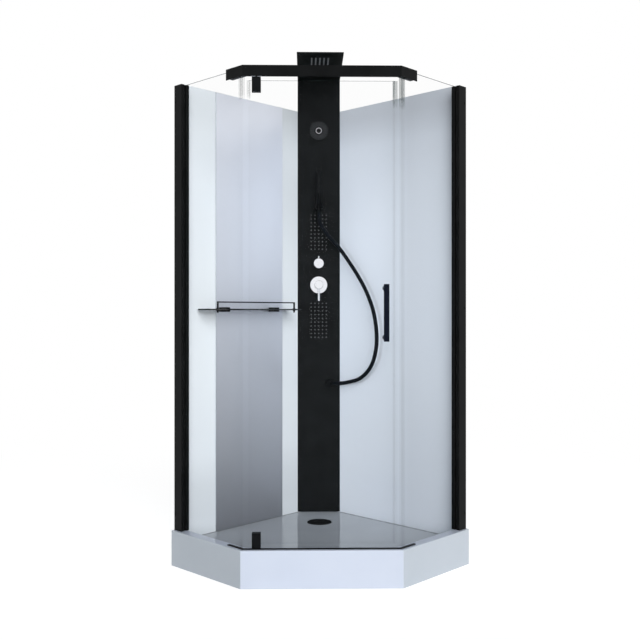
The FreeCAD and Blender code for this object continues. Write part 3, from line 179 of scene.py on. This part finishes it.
def tint(tree, factor, first, second):
    """A blend of two colours by a factor."""
    mix = add(tree, "ShaderNodeMix", data_type="RGBA")
    tree.links.new(factor, mix.inputs[0])
    for socket, colour in ((mix.inputs[6], first), (mix.inputs[7], second)):
        if isinstance(colour, bpy.types.NodeSocket):
            tree.links.new(colour, socket)
        else:
            socket.default_value = shade(colour)
    return mix.outputs[2]


def mottle(tree, place, scale, first, second):
    """Two colours in soft patches."""
    return tint(tree, cloud(tree, place, scale), first, second)


def times(tree, first, second):
    """Two colours multiplied."""
    mix = add(tree, "ShaderNodeMix", data_type="RGBA", blend_type="MULTIPLY")
    mix.inputs[0].default_value = 1.0
    tree.links.new(first, mix.inputs[6])
    tree.links.new(second, mix.inputs[7])
    return mix.outputs[2]


def high_up(tree, place, low, high):
    """0 under one height and 1 over another."""
    return remap(tree, split(tree, place.outputs["Object"])["Z"], low, high)


def tones(*stops, hue=(1.0, 1.0, 1.0)):
    """Stops of a ramp in one hue."""
    return [(where, tuple(level * share for share in hue)) for where, level in stops]


def graded(tree, value, low, high, stops):
    """Colour that changes along a value, each stop's place given as a share of the span."""
    ramp = add(tree, "ShaderNodeValToRGB", {"Fac": remap(tree, value, low, high)})
    marks = ramp.color_ramp.elements
    for _ in stops[2:]:
        marks.new(0.5)
    for mark, (where, colour) in zip(marks, stops):
        mark.position = where
        mark.color = shade(colour)
    return ramp.outputs["Color"]


def paint(tree, shader, colour):
    """Gives a shader its colour pattern."""
    tree.links.new(colour, shader.inputs["Base Color"])


def sheen(tree, shader, place, scale, low, high, detail=3.0):
    """Gives a shader soft patches of two roughnesses."""
    tree.links.new(cloud(tree, place, scale, low, high, detail), shader.inputs["Roughness"])


def relief(tree, shader, height, depth):
    """Surface relief from a height pattern, its depth in metres."""
    bump = add(tree, "ShaderNodeBump", {"Height": height, "Distance": depth, "Strength": 1.0})
    tree.links.new(bump.outputs["Normal"], shader.inputs["Normal"])


def ripple(tree, shader, place, scale, depth, detail=1.0):
    """Surface relief from soft noise."""
    relief(tree, shader, cloud(tree, place, scale, detail=detail), depth)


def satin_coat(name, colour, roughness, grain=900.0, specular=0.06):
    """Satin coat of a dark metal or plastic piece: fine grain, faint clouds in the sheen."""
    finish, tree, shader, place = new_finish(name, colour, roughness, specular=specular)
    lighter = tuple(1.7 * c for c in colour)
    paint(tree, shader, mottle(tree, place, 14.0, colour, lighter))
    sheen(tree, shader, place, 40.0, roughness - 0.06, roughness + 0.06)
    ripple(tree, shader, place, grain, 0.00004)
    return finish


def white_acrylic():
    """Gloss white tray with faint ripples, its angled side faces painted greyer and its floor inside the
    rim painted grey, both as painted shade.
    """
    finish, tree, shader, place = new_finish("white_acrylic", (0.69, 0.74, 0.86), 0.08)
    facing = split(tree, place.outputs["Normal"])
    # Painted shade: upward faces below the rim, the tray floor, are painted grey
    level = remap(tree, facing["Z"], 0.55, 0.95)
    low = maths(tree, "SUBTRACT", 1.0, high_up(tree, place, TRAY_FLOOR_BELOW, TRAY_RIM_ABOVE))
    painted_floor_shade_mask = maths(tree, "MULTIPLY", level, low)
    # Painted shade: the angled side faces get a greyer copy of the white
    painted_side_shade_mask = remap(tree, maths(tree, "ABSOLUTE", facing["X"]), 0.2, 0.3)
    patches = cloud(tree, place, 5.0)
    front = tint(tree, patches, (0.67, 0.72, 0.84), (0.71, 0.755, 0.87))
    painted_shade_sides = tint(tree, patches, (0.60, 0.655, 0.72), (0.64, 0.685, 0.75))
    white = tint(tree, painted_side_shade_mask, front, painted_shade_sides)
    # Grey of the painted shade on the tray floor
    grey = mottle(tree, place, 7.0, (0.44, 0.465, 0.50), (0.47, 0.495, 0.53))
    paint(tree, shader, tint(tree, painted_floor_shade_mask, white, grey))
    sheen(tree, shader, place, 22.0, 0.03, 0.07)
    ripple(tree, shader, place, 6.0, 0.00015, detail=0.0)
    return finish


def white_panel():
    """Gloss white wall panel with a slight ripple, and painted shade that makes it greyer by the column,
    the post and the ends.
    """
    finish, tree, shader, place = new_finish("white_panel", (0.92, 0.945, 0.98), 0.3)
    white = mottle(tree, place, 1.6, (0.89, 0.935, 0.98), (0.925, 0.965, 0.995))
    spot = split(tree, place.outputs["Object"])
    # Painted shade along X: greyer by the column and by the right post
    painted_shade_across = graded(tree, spot["X"], -PAINTED_SHADE_HALF_WIDTH, PAINTED_SHADE_HALF_WIDTH, tones(
        (0.0, 1.0), (0.22, 1.0), (0.36, 0.83), (0.42, 0.83),
        (0.58, 1.0), (0.72, 0.96), (0.82, 0.83), (0.92, 0.92)))
    # Painted shade up the left wall: greyer at the foot and at the head
    left = graded(tree, spot["Z"], PANEL_FOOT, PANEL_TOP, tones(
        (0.0, 0.85), (0.05, 0.80), (0.11, 0.83), (0.18, 0.95), (0.41, 1.0), (0.90, 1.0), (0.98, 0.91)))
    # Painted shade up the right wall, a little bluer: greyer at the foot and darker at the head
    right = graded(tree, spot["Z"], PANEL_FOOT, PANEL_TOP, tones(
        (0.0, 0.92), (0.23, 0.90), (0.45, 0.97), (0.80, 0.99), (0.90, 0.98), (0.97, 0.79),
        hue=(0.98, 0.985, 1.03)))
    side = remap(tree, spot["X"], -COLUMN_HALF_BLEND, COLUMN_HALF_BLEND)
    paint(tree, shader, times(tree, times(tree, white, painted_shade_across), tint(tree, side, left, right)))
    sheen(tree, shader, place, 2.0, 0.29, 0.32, detail=0.0)
    ripple(tree, shader, place, 3.0, 0.0002, detail=0.0)
    return finish


def mirror_painted_reflection():
    """Mirror strip with a painted reflection, light at the top and darker towards the foot."""
    finish, tree, shader, place = new_finish("mirror_painted_reflection", (0.5, 0.52, 0.57), 0.36, metallic=0.6)
    height = split(tree, place.outputs["Object"])["Z"]
    # Painted reflection: the mirror's face is painted lighter up its height
    painted_reflection = graded(tree, height, MIRROR_FOOT, MIRROR_TOP, tones(
        (0.0, 0.26), (0.26, 0.48), (0.43, 0.63), (0.60, 0.80), (0.78, 0.91), (0.90, 0.90), (1.0, 0.82),
        hue=(0.95, 0.985, 1.075)))
    facing = add(tree, "ShaderNodeVectorMath", {0: place.outputs["Normal"], 1: MIRROR_OUT},
                 operation="DOT_PRODUCT")
    face = remap(tree, facing.outputs["Value"], 0.5, 0.9)
    paint(tree, shader, tint(tree, face, (0.42, 0.44, 0.48), painted_reflection))
    sheen(tree, shader, place, 12.0, 0.33, 0.39)
    return finish


def clear_glass():
    """Clear safety glass: nearly unseen on its faces, a grey-green line along its top edges."""
    clear = (0.02, 0.03, 0.03)
    finish, tree, shader, place = new_finish("clear_glass", clear, 0.03)
    facing = split(tree, place.outputs["Normal"])
    level = remap(tree, maths(tree, "ABSOLUTE", facing["Z"]), 0.4, 0.8)
    edge = maths(tree, "MULTIPLY", level, high_up(tree, place, *GLASS_TOP_HALF))
    paint(tree, shader, tint(tree, edge, clear, (0.05, 0.075, 0.07)))
    tree.links.new(remap(tree, edge, to_low=0.012, to_high=0.85), shader.inputs["Alpha"])
    sheen(tree, shader, place, 30.0, 0.02, 0.05)
    return finish


def clear_seal(name, faint, strong, foot_share, fade):
    """See-through vinyl strip with smoky lengthwise lines, clearer under the heights of its fade."""
    finish, tree, shader, place = new_finish(name, (0.16, 0.19, 0.19), 0.25)
    lines = cloud(tree, place, 260.0, detail=1.0, stretch=(1.0, 1.0, 0.004))
    paint(tree, shader, tint(tree, lines, (0.20, 0.23, 0.23), (0.12, 0.15, 0.15)))
    smoke = remap(tree, lines, to_low=faint, to_high=strong)
    share = remap(tree, high_up(tree, place, *fade), to_low=foot_share)
    tree.links.new(maths(tree, "MULTIPLY", smoke, share), shader.inputs["Alpha"])
    return finish


def smoked_glass():
    """Black smoked glass of the shelf with polished edges."""
    finish, tree, shader, place = new_finish("smoked_glass", (0.012, 0.013, 0.015), 0.06)
    paint(tree, shader, mottle(tree, place, 9.0, (0.010, 0.011, 0.012), (0.016, 0.017, 0.019)))
    sheen(tree, shader, place, 25.0, 0.04, 0.09)
    return finish


def polished_metal(name, brightness):
    """Polished metal, bluish, with faint polishing clouds."""
    colour = tuple(share * brightness for share in (0.98, 1.0, 1.045))
    lighter = tuple(min(1.04 * c, 1.0) for c in colour)
    finish, tree, shader, place = new_finish(name, colour, 0.08, metallic=1.0)
    paint(tree, shader, mottle(tree, place, 20.0, colour, lighter))
    sheen(tree, shader, place, 60.0, 0.06, 0.12)
    ripple(tree, shader, place, 400.0, 0.00001)
    return finish


def zinc_steel():
    """Galvanised steel with pale and dark spangles."""
    finish, tree, shader, place = new_finish("zinc_steel", (0.55, 0.56, 0.58), 0.4, metallic=1.0)
    spangles = grains(tree, place, 90.0)
    paint(tree, shader, tint(tree, spangles["Red"], (0.45, 0.46, 0.48), (0.66, 0.67, 0.69)))
    rough = remap(tree, spangles["Green"], to_low=0.3, to_high=0.5)
    tree.links.new(rough, shader.inputs["Roughness"])
    return finish


def raw_brass():
    """Machined brass with dull patches."""
    finish, tree, shader, place = new_finish("raw_brass", (0.72, 0.54, 0.24), 0.35, metallic=1.0)
    paint(tree, shader, mottle(tree, place, 30.0, (0.55, 0.40, 0.17), (0.76, 0.58, 0.28)))
    sheen(tree, shader, place, 80.0, 0.25, 0.45)
    return finish


def chip_board():
    """Pressed wood board: chips of several browns."""
    finish, tree, shader, place = new_finish("chip_board", (0.50, 0.37, 0.23), 0.8)
    chips = grains(tree, place, 160.0)
    paint(tree, shader, tint(tree, chips["Red"], (0.36, 0.25, 0.14), (0.62, 0.48, 0.31)))
    relief(tree, shader, chips["Green"], 0.0003)
    return finish


def moulded_grey():
    """Grey moulded plastic with a fine matt skin."""
    finish, tree, shader, place = new_finish("moulded_grey", (0.45, 0.46, 0.47), 0.5, specular=0.4)
    paint(tree, shader, mottle(tree, place, 12.0, (0.42, 0.43, 0.44), (0.48, 0.49, 0.50)))
    sheen(tree, shader, place, 90.0, 0.42, 0.58)
    ripple(tree, shader, place, 1200.0, 0.00005)
    return finish


def soft_silicone(name, colour, top_gain=1.0):
    """Grey silicone of nozzles, strips and beads, from the rose upward its lighter grey times a gain."""
    finish, tree, shader, place = new_finish(name, colour, 0.55, specular=0.3)
    lighter = tuple(1.35 * c for c in colour)
    grey = mottle(tree, place, 70.0, colour, lighter)
    pale = tuple(top_gain * c for c in lighter)
    paint(tree, shader, tint(tree, high_up(tree, place, *ROSE_ZONE), grey, pale))
    ripple(tree, shader, place, 1500.0, 0.00004)
    return finish


def hose_rubber():
    """Smooth black hose skin with a soft sheen."""
    finish, tree, shader, place = new_finish("hose_rubber", (0.005, 0.006, 0.008), 0.42, specular=0.06)
    paint(tree, shader, mottle(tree, place, 40.0, (0.0042, 0.0054, 0.0078), (0.0056, 0.0070, 0.0100)))
    sheen(tree, shader, place, 120.0, 0.36, 0.48)
    ripple(tree, shader, place, 700.0, 0.00004)
    return finish


def dress(finish, *names):
    """Gives CAD nodes their finish."""
    for name in names:
        slots = cabin_nodes[name].data.materials
        slots.clear()
        slots.append(finish)


def dress_cabin():
    """The finishes of the frame's nodes, all but the hose, which gets a skin of its own."""
    dress(white_acrylic(), "tray")
    dress(chip_board(), "tray_base_board")
    dress(zinc_steel(), "tray_frame", "foot_lock_nuts", "pivot_pins")
    dress(satin_coat("black_plastic", (0.0045, 0.0048, 0.0052), 0.5), "tray_feet", "drain_cover",
          "waste_flange", "column_base_cap", "jet_boxes", "overhead_neck", "hinge_screws", "post_screws")
    dress(moulded_grey(), "waste_trap", "dip_tube")
    dress(white_panel(), "left_wall_panel", "right_wall_panel")
    dress(mirror_painted_reflection(), "mirror")
    dress(satin_coat("black_aluminium", (0.0036, 0.0039, 0.0041), 0.36), "left_post", "right_post",
          "wall_channels", "top_rail", "rail_returns", "threshold_strip")
    dress(clear_glass(), "left_fixed_glass", "right_fixed_glass", "door_glass")
    dress(satin_coat("black_gasket", (0.005, 0.005, 0.005), 0.6, grain=600.0), "glazing_gaskets")
    dress(clear_seal("clear_seal", 0.07, 0.19, 0.0, SIDE_SEAL_FADE), "left_edge_seal", "door_side_seal")
    dress(clear_seal("magnet_seal", 0.20, 0.45, 0.06, MAGNET_SEAL_FADE),
          "right_magnet_seal", "door_magnet_seal")
    dress(clear_seal("drip_seal", 0.05, 0.15, 0.04, DRIP_SEAL_FADE), "door_drip_seal")
    dress(satin_coat("black_fittings", (0.0034, 0.0038, 0.0044), 0.4), "top_hinge", "bottom_hinge",
          "hinge_clamps", "hose_elbow", "hand_shower_holder", "hand_shower", "shelf_brackets",
          "shelf_guard_rail")
    dress(satin_coat("blue_black", (0.0030, 0.0044, 0.0092), 0.4), "door_handle")
    dress(satin_coat("grey_fixing", (0.10, 0.115, 0.14), 0.4), "handle_fixings")
    dress(satin_coat("black_column", (0.0052, 0.0057, 0.0062), 0.45), "column_housing",
          "column_back_plate", "rose_body")
    dress(satin_coat("black_overhead", (0.0085, 0.0102, 0.0098), 0.45, specular=0.005), "overhead_plate")
    dress(soft_silicone("strip_silicone", (0.15, 0.154, 0.158)), "overhead_strips")
    dress(soft_silicone("nozzle_silicone", (0.078, 0.081, 0.085), top_gain=1.35), "spray_nozzles")
    dress(polished_metal("bright_chrome", 0.88), "mixer_plate", "mixer_spindle", "mixer_handle",
          "diverter_knob")
    dress(polished_metal("ring_chrome", 0.42), "rose_ring")
    dress(raw_brass(), "mixer_valve", "diverter_valve", "supply_nipples", "water_pipes")
    dress(smoked_glass(), "shelf_plate")


def hose_line(name, width):
    """The hose's smooth line as a NURBS spline, round where a width is given."""
    curve = bpy.data.curves.new(name, "CURVE")
    curve.dimensions = "3D"
    curve.bevel_depth = width / 2
    curve.bevel_resolution = 6
    spline = curve.splines.new("NURBS")
    spline.points.add(len(HOSE_POINTS) - 1)
    for point, place in zip(spline.points, HOSE_POINTS):
        point.co = (*place, 1.0)
    spline.order_u = 3
    spline.use_endpoint_u = True
    spline.resolution_u = 10
    return bpy.data.objects.new(name, curve)


def as_mesh(curve_object):
    """The mesh that a curve object makes; the object goes."""
    bpy.context.scene.collection.objects.link(curve_object)
    graph = bpy.context.evaluated_depsgraph_get()
    mesh = bpy.data.meshes.new_from_object(curve_object.evaluated_get(graph))
    bpy.data.objects.remove(curve_object)
    return mesh


def finished(shape):
    """The mesh of a shape, its faces turned outward."""
    bmesh.ops.recalc_face_normals(shape, faces=shape.faces)
    mesh = bpy.data.meshes.new("shape")
    shape.to_mesh(mesh)
    shape.free()
    return mesh


def put(name, mesh, finish):
    """A new piece from a mesh."""
    piece = bpy.data.objects.new(name, mesh)
    mesh.name = name
    mesh.materials.clear()
    mesh.materials.append(finish)
    bpy.context.scene.collection.objects.link(piece)
    return piece


def shower_hose():
    """The loose hose from the outlet elbow to the hand shower."""
    line = as_mesh(hose_line("hose_centre", 0.0))
    tube = as_mesh(hose_line("hose_tube", HOSE_DIAMETER))
    for face in tube.polygons:
        face.use_smooth = True
    hose = put("shower_hose_skin", tube, hose_rubber())
    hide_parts("shower_hose")
    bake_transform(hose)


def wall_foot_bead():
    """Grey silicone bead along the foot of both walls, from the column to the posts."""
    # Along the right wall x + y stays the same, and the bead runs until x - y is that of the post
    face = min(v.co.x + v.co.y for v in cabin_nodes["right_wall_panel"].data.vertices)
    end = min(v.co.x - v.co.y for v in cabin_nodes["right_post"].data.vertices)
    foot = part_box("right_wall_panel")[0][2]
    column_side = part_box("column_housing")[1][0]
    corner = Vector((column_side, face - column_side, foot))
    out = Vector((-1, -1, 0)).normalized() * BEAD_REACH
    up = Vector((0, 0, BEAD_RISE))
    run = Vector((1, -1, 0)) * (end - (2 * column_side - face)) / 2
    bead = bmesh.new()
    profile = bead.faces.new([bead.verts.new(corner + step) for step in (Vector(), out, up)])
    pulled = bmesh.ops.extrude_face_region(bead, geom=[profile])["geom"]
    bmesh.ops.translate(bead, verts=[v for v in pulled if isinstance(v, bmesh.types.BMVert)], vec=run)
    whole = bead.verts[:] + bead.edges[:] + bead.faces[:]
    bmesh.ops.mirror(bead, geom=whole, merge_dist=0.0, axis="X")
    silicone = soft_silicone("bead_silicone", (0.16, 0.167, 0.175))
    piece = put("wall_foot_bead", finished(bead), silicone)
    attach(piece, "cabin")


def hand_spray_nozzles():
    """Rows of three spray nozzles on the flat of the hand shower."""
    low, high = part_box("hand_shower")
    axis_x = (low[0] + high[0]) / 2
    top = high[2] - NOZZLE_END_ROOM
    flat = min(v.co.y for v in cabin_nodes["hand_shower"].data.vertices if v.co.z > top)
    forward = Matrix.Rotation(math.radians(90), 4, "X")
    spray = bmesh.new()
    for row in range(NOZZLE_ROWS):
        for column in (-1, 0, 1):
            place = Vector((axis_x + column * NOZZLE_SIDE_PITCH, flat - NOZZLE_RISE / 2,
                            top - row * NOZZLE_PITCH))
            bmesh.ops.create_cone(spray, cap_ends=True, segments=12, radius1=NOZZLE_RADIUS,
                                  radius2=NOZZLE_TIP_RADIUS, depth=NOZZLE_RISE,
                                  matrix=Matrix.Translation(place) @ forward)
    silicone = soft_silicone("spray_silicone", (0.020, 0.021, 0.022))
    piece = put("hand_spray_nozzles", finished(spray), silicone)
    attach(piece, "hand_shower")


def seen_directly(tree):
    """1 for what the camera sees, straight, in a reflection or through glass."""
    path = tree.nodes.new("ShaderNodeLightPath")
    either = maths(tree, "MAXIMUM", path.outputs["Is Camera Ray"], path.outputs["Is Glossy Ray"])
    return maths(tree, "MAXIMUM", either, path.outputs["Is Transmission Ray"])


def floor_paint():
    """White where it is looked at, with soft shadows near the cabin, and plain grey to light rays."""
    finish = bpy.data.materials.new("studio_floor")
    finish.use_nodes = True
    tree = finish.node_tree
    tree.nodes.remove(tree.nodes["Principled BSDF"])
    place = tree.nodes.new("ShaderNodeTexCoord")
    reach = add(tree, "ShaderNodeVectorMath", {0: place.outputs["Object"]}, operation="LENGTH")
    near = remap(tree, reach.outputs["Value"], SHADOWS_FULL, SHADOWS_GONE, 1.0, 0.0, smooth=True)
    glow = remap(tree, near, to_low=1.0, to_high=0.86)
    light = add(tree, "ShaderNodeEmission", {"Color": WHITE, "Strength": glow})
    pale = remap(tree, near, to_high=0.40)
    shadow = add(tree, "ShaderNodeBsdfDiffuse", {"Color": pale})
    shown = add(tree, "ShaderNodeAddShader", {0: light.outputs[0], 1: shadow.outputs[0]})
    plain = add(tree, "ShaderNodeBsdfDiffuse", {"Color": (0.6, 0.6, 0.6, 1)})
    both = add(tree, "ShaderNodeMixShader",
               {0: seen_directly(tree), 1: plain.outputs[0], 2: shown.outputs[0]})
    tree.links.new(both.outputs[0], tree.nodes["Material Output"].inputs["Surface"])
    return finish


def studio_floor():
    """Wide pale floor under the cabin."""
    ground = bmesh.new()
    bmesh.ops.create_circle(ground, cap_ends=True, radius=FLOOR_RADIUS, segments=96)
    mesh = bpy.data.meshes.new("studio_floor")
    ground.to_mesh(mesh)
    ground.free()
    floor = put("studio_floor", mesh, floor_paint())


def white_surroundings():
    """A world that looks white and gives only a low fill."""
    world = bpy.data.worlds.new("white_surroundings")
    bpy.context.scene.world = world
    world.use_nodes = True
    tree = world.node_tree
    fill = tree.nodes["Background"]
    fill.inputs["Color"].default_value = (0.80, 0.90, 1.0, 1)
    fill.inputs["Strength"].default_value = 0.055
    white = add(tree, "ShaderNodeBackground", {"Color": WHITE, "Strength": 1.0})
    both = add(tree, "ShaderNodeMixShader",
               {0: seen_directly(tree), 1: fill.outputs[0], 2: white.outputs[0]})
    tree.links.new(both.outputs[0], tree.nodes["World Output"].inputs["Surface"])


def new_lamp(name, kind, energy, colour, towards):
    """A lamp that shines along a direction and stays out of reflections."""
    light = bpy.data.lights.new(name, kind)
    light.energy = energy
    light.color = colour
    lamp = bpy.data.objects.new(name, light)
    lamp.rotation_euler = Vector(towards).to_track_quat("-Z", "Y").to_euler()
    lamp.visible_glossy = False
    bpy.context.scene.collection.objects.link(lamp)
    return lamp


def studio_lamps():
    """A soft spot on the right wall, a wide key lamp in front and a weaker one behind."""
    aim = Vector(WALL_LAMP_TARGET) - Vector(WALL_LAMP_PLACE)
    spot = new_lamp("wall_lamp", "SPOT", 70.0, COOL_LIGHT, aim)
    spot.location = WALL_LAMP_PLACE
    spot.visible_camera = False
    spot.data.shadow_soft_size = 0.22
    spot.data.spot_size = math.radians(52)
    spot.data.spot_blend = 1.0
    key = new_lamp("key_lamp", "SUN", 3.40, DAYLIGHT, (-0.25, 0.94, -0.25))
    key.data.angle = math.radians(54)
    back = new_lamp("back_lamp", "SUN", 2.2, DAYLIGHT, (0.12, -0.98, -0.14))
    back.data.angle = math.radians(20)


def photo_camera():
    """The photograph's viewing angle."""
    camera = bpy.data.cameras.new("photo_camera")
    camera.lens = 47.57
    camera.sensor_width = 36.0
    camera.shift_y = -0.0131
    camera.clip_end = 200.0
    eye = bpy.data.objects.new("photo_camera", camera)
    eye.location = (-0.0657, -3.7779, 1.0884)
    eye.rotation_euler = (math.radians(90), 0, math.radians(-0.992))
    bpy.context.scene.collection.objects.link(eye)
    bpy.context.scene.camera = eye


dress_cabin()
shower_hose()
wall_foot_bead()
hand_spray_nozzles()
studio_floor()
white_surroundings()
studio_lamps()
photo_camera()
bpy.context.scene.view_settings.view_transform = "Standard"
